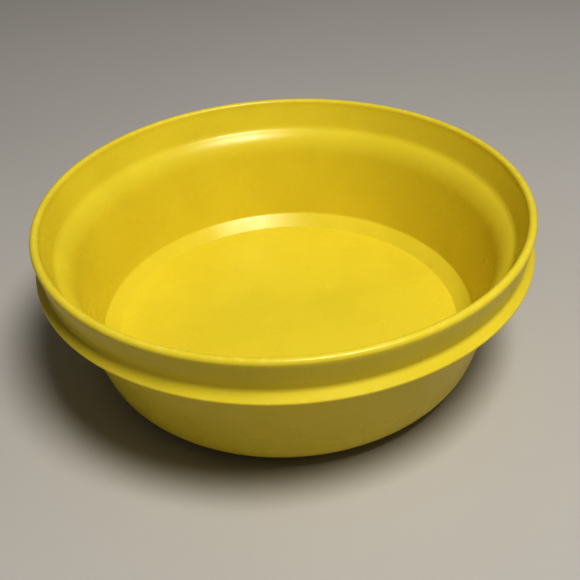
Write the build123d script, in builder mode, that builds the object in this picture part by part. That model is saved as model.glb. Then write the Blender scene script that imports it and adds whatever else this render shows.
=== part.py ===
"""Suction bowl for a toddler: a rigid moulded bowl and the soft suction cup plugged in under its floor.

Millimetres, +Z up. The origin is on the table, at the middle of the suction cup's contact ring.
Both pieces are bodies of revolution about Z, so each one is a half section in the XZ plane.
"""
from build123d import *
import os
from math import radians, tan

# Overall size
rim_height = 50.0  # lip above the table, with the suction cup relaxed
rim_radius = 70.0  # outside of the lip
cup_reach = 2.1  # how far the relaxed suction cup stands out below the foot ring

# Lip and collar
lip_thickness = 2.4  # full round lip
collar_root_radius = 68.0  # outside, where the collar meets the flange
collar_thickness = 3.1  # at its root
collar_root_round = 1.2  # cove from the collar to the flange

# Flange ring under the collar
flange_radius = 70.2
flange_top_depth = 9.9  # below the lip, at the collar
flange_edge_depth = 12.6  # below the lip, underside
flange_edge_drop = 2.1  # how much the top face falls towards the edge
flange_top_round = 0.6
flange_bottom_round = 0.3
flange_root_round = 0.8  # under the flange, at the wall

# Wall, floor and foot
outer_taper = 16.4  # degrees from vertical
inner_taper = 12.7
base_radius = 54.5  # outside wall carried straight down to the foot's level
floor_radius = 54.3  # inside wall carried straight down to the floor
floor_depth = 41.0  # lip down to the floor
floor_thickness = 2.2
floor_band_height = 3.4  # conical band between floor and wall
floor_band_width = 3.5
floor_band_top_round = 1.2
floor_band_foot_round = 0.6
corner_radius = 10.0  # outside corner at the foot
foot_width = 2.2
shoulder_depth = 9.1  # lip down to the shoulder, at the collar
shoulder_fall = 38.0  # degrees below horizontal
shoulder_root_round = 4.0
shoulder_nose_round = 11.0

# Plug that holds the suction cup
stem_radius = 9.0
stem_clearance = 0.05
stem_height = 2.6
socket_wall = 2.2
socket_gap = 0.2  # between the cup's back and the socket's end, and above the stem

# Suction cup
cup_radius = 42.5
cup_contact_width = 1.2
cup_edge_height = 0.9
cup_dome_height = 2.4  # middle of the hollow above the table
cup_back_height = 4.0  # back of the cup at the stem


def slope(degrees):
    """Sideways run for each millimetre of height."""
    return tan(radians(degrees))


foot_level = cup_reach
floor_level = rim_height - floor_depth
floor_underside = floor_level - floor_thickness
lip_radius = lip_thickness / 2
lip_level = rim_height - lip_radius
flange_top_level = rim_height - flange_top_depth
flange_underside = rim_height - flange_edge_depth
wall_top_radius = base_radius + slope(outer_taper) * (flange_underside - foot_level)
foot_radius = base_radius - corner_radius * slope((90 - outer_taper) / 2)
recess_radius = foot_radius - foot_width
socket_radius = stem_radius + stem_clearance
socket_outer_radius = socket_radius + socket_wall
socket_end = cup_back_height + socket_gap

# The shoulder falls inwards from the collar until it meets the line of the inside wall
shoulder_level = rim_height - shoulder_depth
shoulder_outer_radius = collar_root_radius - collar_thickness
inner_top_radius = floor_radius + slope(inner_taper) * (shoulder_level - floor_level)
shoulder_run = (shoulder_outer_radius - inner_top_radius) / (1 - slope(inner_taper) * slope(shoulder_fall))
shoulder_inner_radius = shoulder_outer_radius - shoulder_run
shoulder_inner_level = shoulder_level - shoulder_run * slope(shoulder_fall)
band_top_radius = floor_radius + slope(inner_taper) * floor_band_height


with BuildPart() as bowl_shell:
    with BuildSketch(Plane.XZ):
        with BuildLine():
            underside = Polyline(
                (0, floor_underside),
                (socket_radius, floor_underside),
                (socket_radius, socket_end),
                (socket_outer_radius, socket_end),
                (socket_outer_radius, floor_underside),
                (recess_radius, floor_underside),
                (recess_radius, foot_level),
            )
            outside = FilletPolyline(
                (recess_radius, foot_level),
                (base_radius, foot_level),
                (wall_top_radius, flange_underside),
                (flange_radius, flange_underside),
                (flange_radius, flange_top_level - flange_edge_drop),
                (collar_root_radius, flange_top_level),
                (rim_radius, lip_level),
                radius=[
                    corner_radius,
                    flange_root_round,
                    flange_bottom_round,
                    flange_top_round,
                    collar_root_round,
                ],
            )
            inside = FilletPolyline(
                (rim_radius - lip_thickness, lip_level),
                (shoulder_outer_radius, shoulder_level),
                (shoulder_inner_radius, shoulder_inner_level),
                (band_top_radius, floor_level + floor_band_height),
                (floor_radius - floor_band_width, floor_level),
                (0, floor_level),
                radius=[
                    shoulder_root_round,
                    shoulder_nose_round,
                    floor_band_top_round,
                    floor_band_foot_round,
                ],
            )
            ThreePointArc(outside @ 1, (rim_radius - lip_radius, rim_height), inside @ 0)
            Line(inside @ 1, underside @ 0)
        make_face()
    revolve(axis=Axis.Z)

with BuildPart() as suction_cup:
    with BuildSketch(Plane.XZ):
        with BuildLine():
            contact_radius = cup_radius - cup_contact_width
            hollow = TangentArc((0, cup_dome_height), (contact_radius, 0), tangent=(1, 0))
            contact = Line(hollow @ 1, (cup_radius, 0))
            edge = Line(contact @ 1, (cup_radius, cup_edge_height / 2))
            bevel = Line(edge @ 1, (contact_radius, cup_edge_height))
            back = TangentArc((socket_outer_radius, cup_back_height), bevel @ 1, tangent=(1, 0))
            stem = FilletPolyline(
                back @ 0,
                (stem_radius, cup_back_height),
                (stem_radius, cup_back_height + stem_height),
                (0, cup_back_height + stem_height),
                radius=[0.0, 0.5],
            )
            Line(stem @ 1, hollow @ 0)
        make_face()
    revolve(axis=Axis.Z)

bowl_shell.part.label = "bowl_shell"
suction_cup.part.label = "suction_cup"

os.makedirs("parts", exist_ok=True)
export_step(bowl_shell.part, "parts/bowl_shell.step")
export_step(suction_cup.part, "parts/suction_cup.step")
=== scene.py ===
"""A toddler's suction bowl: the glossy yellow bowl and the soft suction cup under it, on a pale table."""
from math import ceil, cos, pi, radians, sin, tan

import bmesh
import bpy
from mathutils import Matrix, Vector


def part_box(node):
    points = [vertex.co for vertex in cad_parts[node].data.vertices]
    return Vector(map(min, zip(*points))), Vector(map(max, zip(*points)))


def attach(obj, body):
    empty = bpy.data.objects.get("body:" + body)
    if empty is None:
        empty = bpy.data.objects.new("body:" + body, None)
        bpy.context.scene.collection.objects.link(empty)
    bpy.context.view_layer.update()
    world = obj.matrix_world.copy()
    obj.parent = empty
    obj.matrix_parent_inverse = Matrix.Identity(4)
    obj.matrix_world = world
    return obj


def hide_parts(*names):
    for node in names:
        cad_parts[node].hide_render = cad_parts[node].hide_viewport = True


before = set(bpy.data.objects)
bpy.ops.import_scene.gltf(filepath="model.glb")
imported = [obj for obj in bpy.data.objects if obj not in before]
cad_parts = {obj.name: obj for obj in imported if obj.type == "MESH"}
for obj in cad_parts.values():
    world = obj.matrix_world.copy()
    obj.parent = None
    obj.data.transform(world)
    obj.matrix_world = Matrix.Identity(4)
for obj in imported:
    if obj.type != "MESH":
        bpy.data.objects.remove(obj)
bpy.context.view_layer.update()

MM = 0.001
SEGMENTS = 360  # round the bowl
ARC_STEP = radians(6)
RUN_STEP = 1.5 * MM
LIP_STEPS = 16

# The sizes of both pieces, from their CAD boxes and the same driving dimensions as the CAD model
BOWL_LOW, BOWL_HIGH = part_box("bowl_shell")
CUP_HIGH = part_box("suction_cup")[1]
RIM_HEIGHT = BOWL_HIGH[2]
FOOT_LEVEL = BOWL_LOW[2]
CUP_TOP = CUP_HIGH[2]
RIM_RADIUS = 70.0 * MM
FLANGE_RADIUS = 70.2 * MM
LIP_THICKNESS = 2.4 * MM
COLLAR_ROOT_RADIUS = 68.0 * MM
COLLAR_THICKNESS = 3.1 * MM
FLANGE_TOP = RIM_HEIGHT - 9.9 * MM
FLANGE_UNDERSIDE = RIM_HEIGHT - 12.6 * MM
FLANGE_EDGE_DROP = 2.1 * MM
COLLAR_ROOT_ROUND = 1.2 * MM
FLANGE_TOP_ROUND = 0.6 * MM
FLANGE_BOTTOM_ROUND = 0.3 * MM
FLANGE_ROOT_ROUND = 0.8 * MM
OUTER_TAPER = radians(16.4)
INNER_TAPER = radians(12.7)
BASE_RADIUS = 54.5 * MM
FLOOR_RADIUS = 54.3 * MM
FLOOR_LEVEL = RIM_HEIGHT - 41.0 * MM
FLOOR_UNDERSIDE = FLOOR_LEVEL - 2.2 * MM
FLOOR_BAND_HEIGHT = 3.4 * MM
FLOOR_BAND_WIDTH = 3.5 * MM
FLOOR_BAND_TOP_ROUND = 1.2 * MM
FLOOR_BAND_FOOT_ROUND = 0.6 * MM
CORNER_ROUND = 10.0 * MM
FOOT_WIDTH = 2.2 * MM
SHOULDER_LEVEL = RIM_HEIGHT - 9.1 * MM
SHOULDER_FALL = radians(38)
SHOULDER_ROOT_ROUND = 4.0 * MM
SHOULDER_NOSE_ROUND = 11.0 * MM
STEM_RADIUS = 9.0 * MM
SOCKET_RADIUS = STEM_RADIUS + 0.05 * MM
SOCKET_OUTER_RADIUS = SOCKET_RADIUS + 2.2 * MM
SOCKET_EDGE_ROUNDS = [0.1 * MM, 0.2 * MM, 0.2 * MM, 0.3 * MM]
FOOT_EDGE_ROUNDS = [0.5 * MM, 0.4 * MM]
CUP_RADIUS = 42.5 * MM
CUP_CONTACT_RADIUS = CUP_RADIUS - 1.2 * MM
CUP_EDGE_HEIGHT = 0.9 * MM
CUP_DOME_HEIGHT = 2.4 * MM
CUP_BACK_HEIGHT = 4.0 * MM
CUP_EDGE_ROUND = 0.15 * MM
STEM_END_ROUND = 0.5 * MM
SOCKET_END = CUP_BACK_HEIGHT + 0.2 * MM

# The photograph's view: the camera aims at the middle of the rim
CAMERA_DISTANCE = 3.707 * RIM_RADIUS
CAMERA_ELEVATION = radians(30.13)
CAMERA_ROLL = radians(-3.30)
CAMERA_LENS = 57.13  # mm
CAMERA_SHIFT = (0.0146, -0.1566)
SENSOR_WIDTH = 36  # mm

# The stage: a plain table, one soft lamp above and in front of the bowl, and weak white surroundings
TABLE_REACH = 3.0
LAMP_PLACE = (0.17, -0.26, 0.76)
LAMP_SIZE = 0.30
LAMP_POWER = 4.4
SURROUNDINGS_STRENGTH = 0.1


# ---------------------------------------------------------------- profiles and lathe

def rounded(points, radii):
    """The polyline with each inner corner rounded by a tangent arc of its radius."""
    path = [Vector(points[0])]
    for before, corner, after, radius in zip(points, points[1:], points[2:], radii):
        corner = Vector(corner)
        way_in = (Vector(before) - corner).normalized()
        way_out = (Vector(after) - corner).normalized()
        turn = pi - way_in.angle(way_out)
        reach = radius * tan(turn / 2)
        if reach == 0:
            path.append(corner)
            continue
        centre = corner + (way_in + way_out).normalized() * radius / cos(turn / 2)
        start = corner + way_in * reach - centre
        side = 1 if start.cross(corner + way_out * reach - centre) > 0 else -1
        steps = max(2, ceil(turn / ARC_STEP))
        for i in range(steps + 1):
            path.append(centre + Matrix.Rotation(side * turn * i / steps, 2) @ start)
    path.append(Vector(points[-1]))
    return path


def arc_through(start, end, tangent):
    """Points of the arc from start to end that leaves start along tangent."""
    start, end, tangent = Vector(start), Vector(end), Vector(tangent).normalized()
    chord = end - start
    half = tangent.angle_signed(chord)
    radius = chord.length / (2 * sin(abs(half)))
    steps = max(2, ceil(2 * abs(half) / ARC_STEP))
    path = []
    for i in range(steps + 1):
        turn = half * i / steps
        length = 2 * radius * sin(abs(turn))
        path.append(start + Matrix.Rotation(-turn, 2) @ tangent * length)
    return path


def evenly(path):
    """The path with its long runs divided, so that the mesh's faces stay small."""
    dense = [path[0]]
    for here, there in zip(path, path[1:]):
        length = (there - here).length
        if length < 1e-7:
            continue
        steps = max(1, ceil(length / RUN_STEP))
        dense += [here.lerp(there, i / steps) for i in range(1, steps + 1)]
    return dense


def lathe(name, profile):
    """A closed mesh of revolution about Z.

    The profile's points are (radius, height), and it starts and ends on the axis.
    """
    mesh = bmesh.new()
    rings = []
    for radius, height in profile:
        if radius < 1e-6:
            rings.append([mesh.verts.new((0, 0, height))])
            continue
        turns = [2 * pi * i / SEGMENTS for i in range(SEGMENTS)]
        rings.append([mesh.verts.new((radius * cos(turn), radius * sin(turn), height)) for turn in turns])
    for lower, upper in zip(rings, rings[1:]):
        for i in range(SEGMENTS):
            j = (i + 1) % SEGMENTS
            below = [lower[i % len(lower)], lower[j % len(lower)]]
            above = [upper[j % len(upper)], upper[i % len(upper)]]
            mesh.faces.new(list(dict.fromkeys(below + above)))
    bmesh.ops.recalc_face_normals(mesh, faces=mesh.faces)
    data = bpy.data.meshes.new(name)
    mesh.to_mesh(data)
    mesh.free()
    for face in data.polygons:
        face.use_smooth = True
    piece = bpy.data.objects.new(name, data)
    bpy.context.scene.collection.objects.link(piece)
    return piece


def bowl_profile():
    """Half section of the bowl, from the middle of its underside round to the middle of its floor."""
    foot_radius = BASE_RADIUS - CORNER_ROUND * tan((pi / 2 - OUTER_TAPER) / 2)
    recess_radius = foot_radius - FOOT_WIDTH
    wall_top_radius = BASE_RADIUS + tan(OUTER_TAPER) * (FLANGE_UNDERSIDE - FOOT_LEVEL)
    lip_radius = LIP_THICKNESS / 2
    lip_level = RIM_HEIGHT - lip_radius
    shoulder_outer = COLLAR_ROOT_RADIUS - COLLAR_THICKNESS
    inner_top = FLOOR_RADIUS + tan(INNER_TAPER) * (SHOULDER_LEVEL - FLOOR_LEVEL)
    shoulder_run = (shoulder_outer - inner_top) / (1 - tan(INNER_TAPER) * tan(SHOULDER_FALL))
    band_top_radius = FLOOR_RADIUS + tan(INNER_TAPER) * FLOOR_BAND_HEIGHT
    outside = rounded(
        [
            (0, FLOOR_UNDERSIDE),
            (SOCKET_RADIUS, FLOOR_UNDERSIDE),
            (SOCKET_RADIUS, SOCKET_END),
            (SOCKET_OUTER_RADIUS, SOCKET_END),
            (SOCKET_OUTER_RADIUS, FLOOR_UNDERSIDE),
            (recess_radius, FLOOR_UNDERSIDE),
            (recess_radius, FOOT_LEVEL),
            (BASE_RADIUS, FOOT_LEVEL),
            (wall_top_radius, FLANGE_UNDERSIDE),
            (FLANGE_RADIUS, FLANGE_UNDERSIDE),
            (FLANGE_RADIUS, FLANGE_TOP - FLANGE_EDGE_DROP),
            (COLLAR_ROOT_RADIUS, FLANGE_TOP),
            (RIM_RADIUS, lip_level),
        ],
        SOCKET_EDGE_ROUNDS
        + FOOT_EDGE_ROUNDS
        + [CORNER_ROUND, FLANGE_ROOT_ROUND, FLANGE_BOTTOM_ROUND, FLANGE_TOP_ROUND, COLLAR_ROOT_ROUND],
    )
    lip_middle = Vector((RIM_RADIUS - lip_radius, lip_level))
    lip_turns = [pi * i / LIP_STEPS for i in range(1, LIP_STEPS)]
    lip = [lip_middle + lip_radius * Vector((cos(turn), sin(turn))) for turn in lip_turns]
    inside = rounded(
        [
            (RIM_RADIUS - LIP_THICKNESS, lip_level),
            (shoulder_outer, SHOULDER_LEVEL),
            (shoulder_outer - shoulder_run, SHOULDER_LEVEL - shoulder_run * tan(SHOULDER_FALL)),
            (band_top_radius, FLOOR_LEVEL + FLOOR_BAND_HEIGHT),
            (FLOOR_RADIUS - FLOOR_BAND_WIDTH, FLOOR_LEVEL),
            (0, FLOOR_LEVEL),
        ],
        [SHOULDER_ROOT_ROUND, SHOULDER_NOSE_ROUND, FLOOR_BAND_TOP_ROUND, FLOOR_BAND_FOOT_ROUND],
    )
    return evenly(outside + lip + inside)


def cup_profile():
    """Half section of the suction cup, from the middle of its hollow round to the top of its stem."""
    hollow = arc_through((0, CUP_DOME_HEIGHT), (CUP_CONTACT_RADIUS, 0), (1, 0))
    back = arc_through((SOCKET_OUTER_RADIUS, CUP_BACK_HEIGHT), (CUP_CONTACT_RADIUS, CUP_EDGE_HEIGHT), (1, 0))
    edge = rounded(
        [hollow[-1], (CUP_RADIUS, 0), (CUP_RADIUS, CUP_EDGE_HEIGHT / 2), back[-1]],
        [CUP_EDGE_ROUND, CUP_EDGE_ROUND],
    )
    stem = rounded(
        [back[0], (STEM_RADIUS, CUP_BACK_HEIGHT), (STEM_RADIUS, CUP_TOP), (0, CUP_TOP)],
        [0, STEM_END_ROUND],
    )
    return evenly(hollow + edge[1:] + back[::-1][1:] + stem[1:])


# ---------------------------------------------------------------- materials

class Nodes:
    """A material's node tree, with short calls for the nodes that these materials use."""

    def __init__(self, name):
        self.material = bpy.data.materials.new(name)
        self.material.use_nodes = True
        self.tree = self.material.node_tree
        self.shader = self.tree.nodes["Principled BSDF"]

    def add(self, kind, inputs=(), **settings):
        node = self.tree.nodes.new(kind)
        for key, value in settings.items():
            setattr(node, key, value)
        for key, value in dict(inputs).items():
            if isinstance(value, bpy.types.NodeSocket):
                self.tree.links.new(value, node.inputs[key])
            else:
                node.inputs[key].default_value = value
        return node

    def math(self, operation, *values):
        return self.add("ShaderNodeMath", dict(enumerate(values)), operation=operation).outputs[0]

    def remap(self, value, low, high, to_low=0.0, to_high=1.0):
        """value from low..high to to_low..to_high, clamped and smooth."""
        inputs = {"Value": value, "From Min": low, "From Max": high, "To Min": to_low, "To Max": to_high}
        return self.add("ShaderNodeMapRange", inputs, interpolation_type="SMOOTHSTEP").outputs["Result"]

    def noise(self, vector, scale, detail=2.0, roughness=0.5):
        inputs = {"Vector": vector, "Scale": scale, "Detail": detail, "Roughness": roughness}
        return self.add("ShaderNodeTexNoise", inputs).outputs["Fac"]

    def mix(self, factor, first, second):
        node = self.add("ShaderNodeMix", data_type="RGBA")
        for socket, value in zip((node.inputs[0], node.inputs[6], node.inputs[7]), (factor, first, second)):
            if isinstance(value, bpy.types.NodeSocket):
                self.tree.links.new(value, socket)
            else:
                socket.default_value = value
        return node.outputs[2]

    def position(self):
        return self.add("ShaderNodeTexCoord").outputs["Object"]

    def link(self, value, name):
        self.tree.links.new(value, self.shader.inputs[name])


def polar(nodes, position, around, along):
    """A vector that runs round the axis at a scale of around per turn, and out and up at along per metre."""
    split = nodes.add("ShaderNodeSeparateXYZ", {"Vector": position})
    x, y, z = split.outputs
    angle = nodes.math("ARCTAN2", y, x)
    squares = nodes.math("ADD", nodes.math("MULTIPLY", x, x), nodes.math("MULTIPLY", y, y))
    radius = nodes.math("SQRT", squares)
    vector = nodes.add("ShaderNodeCombineXYZ", {
        "X": nodes.math("MULTIPLY", angle, around / (2 * pi)),
        "Y": nodes.math("MULTIPLY", radius, along),
        "Z": nodes.math("MULTIPLY", z, along),
    })
    return vector.outputs[0], radius, z


def bowl_plastic():
    """Glossy yellow polypropylene: slightly cloudy, with fine rubbing marks, most on the lip and flange."""
    n = Nodes("bowl_plastic")
    position = n.position()
    rings, radius, height = polar(n, position, 6, 2600)
    cloud = n.noise(position, 38, 3)
    colour = n.mix(n.remap(cloud, 0.35, 0.65), (0.74, 0.60, 0.050, 1), (0.78, 0.635, 0.056, 1))
    lip_wear = n.remap(height, RIM_HEIGHT - 1.2 * MM, RIM_HEIGHT)
    flange_wear = n.remap(radius, FLANGE_RADIUS - 0.9 * MM, FLANGE_RADIUS)
    wear = n.math("MAXIMUM", lip_wear, flange_wear)
    patchy = n.math("MULTIPLY", wear, n.remap(n.noise(position, 420, 4), 0.45, 0.7))
    n.link(n.mix(n.math("MULTIPLY", patchy, 0.3), colour, (0.90, 0.72, 0.16, 1)), "Base Color")
    scratches = n.remap(n.noise(rings, 1.0, 2), 0.6, 0.78)
    roughness = n.remap(n.noise(position, 120, 4), 0.3, 0.7, 0.26, 0.34)
    roughness = n.math("ADD", roughness, n.math("MULTIPLY", scratches, 0.04))
    n.link(n.math("ADD", roughness, n.math("MULTIPLY", patchy, 0.15)), "Roughness")
    bump = n.add("ShaderNodeBump", {
        "Height": n.math("ADD", n.noise(position, 260, 3), n.math("MULTIPLY", scratches, 0.08)),
        "Strength": 0.05,
        "Distance": 0.4 * MM,
    })
    n.link(bump.outputs[0], "Normal")
    n.shader.inputs["IOR"].default_value = 1.49
    n.shader.inputs["Specular IOR Level"].default_value = 0.35
    n.shader.inputs["Subsurface Weight"].default_value = 0.12
    n.shader.inputs["Subsurface Radius"].default_value = (1.0, 0.6, 0.08)
    n.shader.inputs["Subsurface Scale"].default_value = 0.0015
    return n.material


def cup_rubber():
    """Milky soft rubber with a satin skin and a little dust."""
    n = Nodes("cup_rubber")
    position = n.position()
    dust = n.remap(n.noise(position, 300, 5, 0.6), 0.5, 0.75)
    n.link(n.mix(n.math("MULTIPLY", dust, 0.5), (0.74, 0.73, 0.68, 1), (0.60, 0.58, 0.53, 1)), "Base Color")
    n.link(n.remap(n.noise(position, 90, 3), 0.3, 0.7, 0.38, 0.52), "Roughness")
    bump = n.add("ShaderNodeBump", {
        "Height": n.noise(position, 900, 2),
        "Strength": 0.1,
        "Distance": 0.2 * MM,
    })
    n.link(bump.outputs[0], "Normal")
    n.shader.inputs["IOR"].default_value = 1.41
    n.shader.inputs["Subsurface Weight"].default_value = 0.5
    n.shader.inputs["Subsurface Radius"].default_value = (1.0, 0.9, 0.75)
    n.shader.inputs["Subsurface Scale"].default_value = 0.003
    return n.material


def table_surface():
    n = Nodes("table_surface")
    n.link(n.mix(n.noise(n.position(), 9, 2), (0.49, 0.46, 0.42, 1), (0.53, 0.50, 0.46, 1)), "Base Color")
    n.shader.inputs["Roughness"].default_value = 0.7
    return n.material


# ---------------------------------------------------------------- pieces

def make_bowl():
    bowl = lathe("bowl", bowl_profile())
    bowl.data.materials.append(bowl_plastic())
    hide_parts("bowl_shell")
    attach(bowl, "bowl")
    return bowl


def make_cup():
    cup = lathe("suction_cup_rubber", cup_profile())
    cup.data.materials.append(cup_rubber())
    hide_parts("suction_cup")
    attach(cup, "suction_cup")
    return cup


# ---------------------------------------------------------------- stage, light and camera

def make_table():
    corners = [(x * TABLE_REACH, y * TABLE_REACH, 0) for x, y in ((-1, -1), (1, -1), (1, 1), (-1, 1))]
    data = bpy.data.meshes.new("table")
    data.from_pydata(corners, [], [(0, 1, 2, 3)])
    table = bpy.data.objects.new("table", data)
    table.data.materials.append(table_surface())
    bpy.context.scene.collection.objects.link(table)


def area_light(name, place, aim, size, power):
    data = bpy.data.lights.new(name, "AREA")
    data.shape = "DISK"
    data.size = size
    data.energy = power
    light = bpy.data.objects.new(name, data)
    light.location = place
    light.rotation_euler = (Vector(aim) - Vector(place)).to_track_quat("-Z", "Y").to_euler()
    bpy.context.scene.collection.objects.link(light)


def make_light():
    area_light("overhead_softbox", LAMP_PLACE, (0, 0, RIM_HEIGHT), LAMP_SIZE, LAMP_POWER)
    world = bpy.data.worlds.new("studio")
    world.use_nodes = True
    world.node_tree.nodes["Background"].inputs["Color"].default_value = (1, 1, 1, 1)
    world.node_tree.nodes["Background"].inputs["Strength"].default_value = SURROUNDINGS_STRENGTH
    bpy.context.scene.world = world
    bpy.context.scene.view_settings.view_transform = "Standard"
    bpy.context.scene.view_settings.look = "High Contrast"


def make_camera():
    data = bpy.data.cameras.new("camera")
    data.sensor_width = SENSOR_WIDTH
    data.lens = CAMERA_LENS
    data.shift_x, data.shift_y = CAMERA_SHIFT
    data.clip_start = 0.01
    camera = bpy.data.objects.new("camera", data)
    back = Vector((0, -cos(CAMERA_ELEVATION), sin(CAMERA_ELEVATION)))
    turn = Matrix.Rotation(pi / 2 - CAMERA_ELEVATION, 4, "X") @ Matrix.Rotation(CAMERA_ROLL, 4, "Z")
    camera.matrix_world = Matrix.Translation(Vector((0, 0, RIM_HEIGHT)) + back * CAMERA_DISTANCE) @ turn
    bpy.context.scene.collection.objects.link(camera)
    bpy.context.scene.camera = camera


make_camera()
make_table()
make_light()
make_bowl()
make_cup()
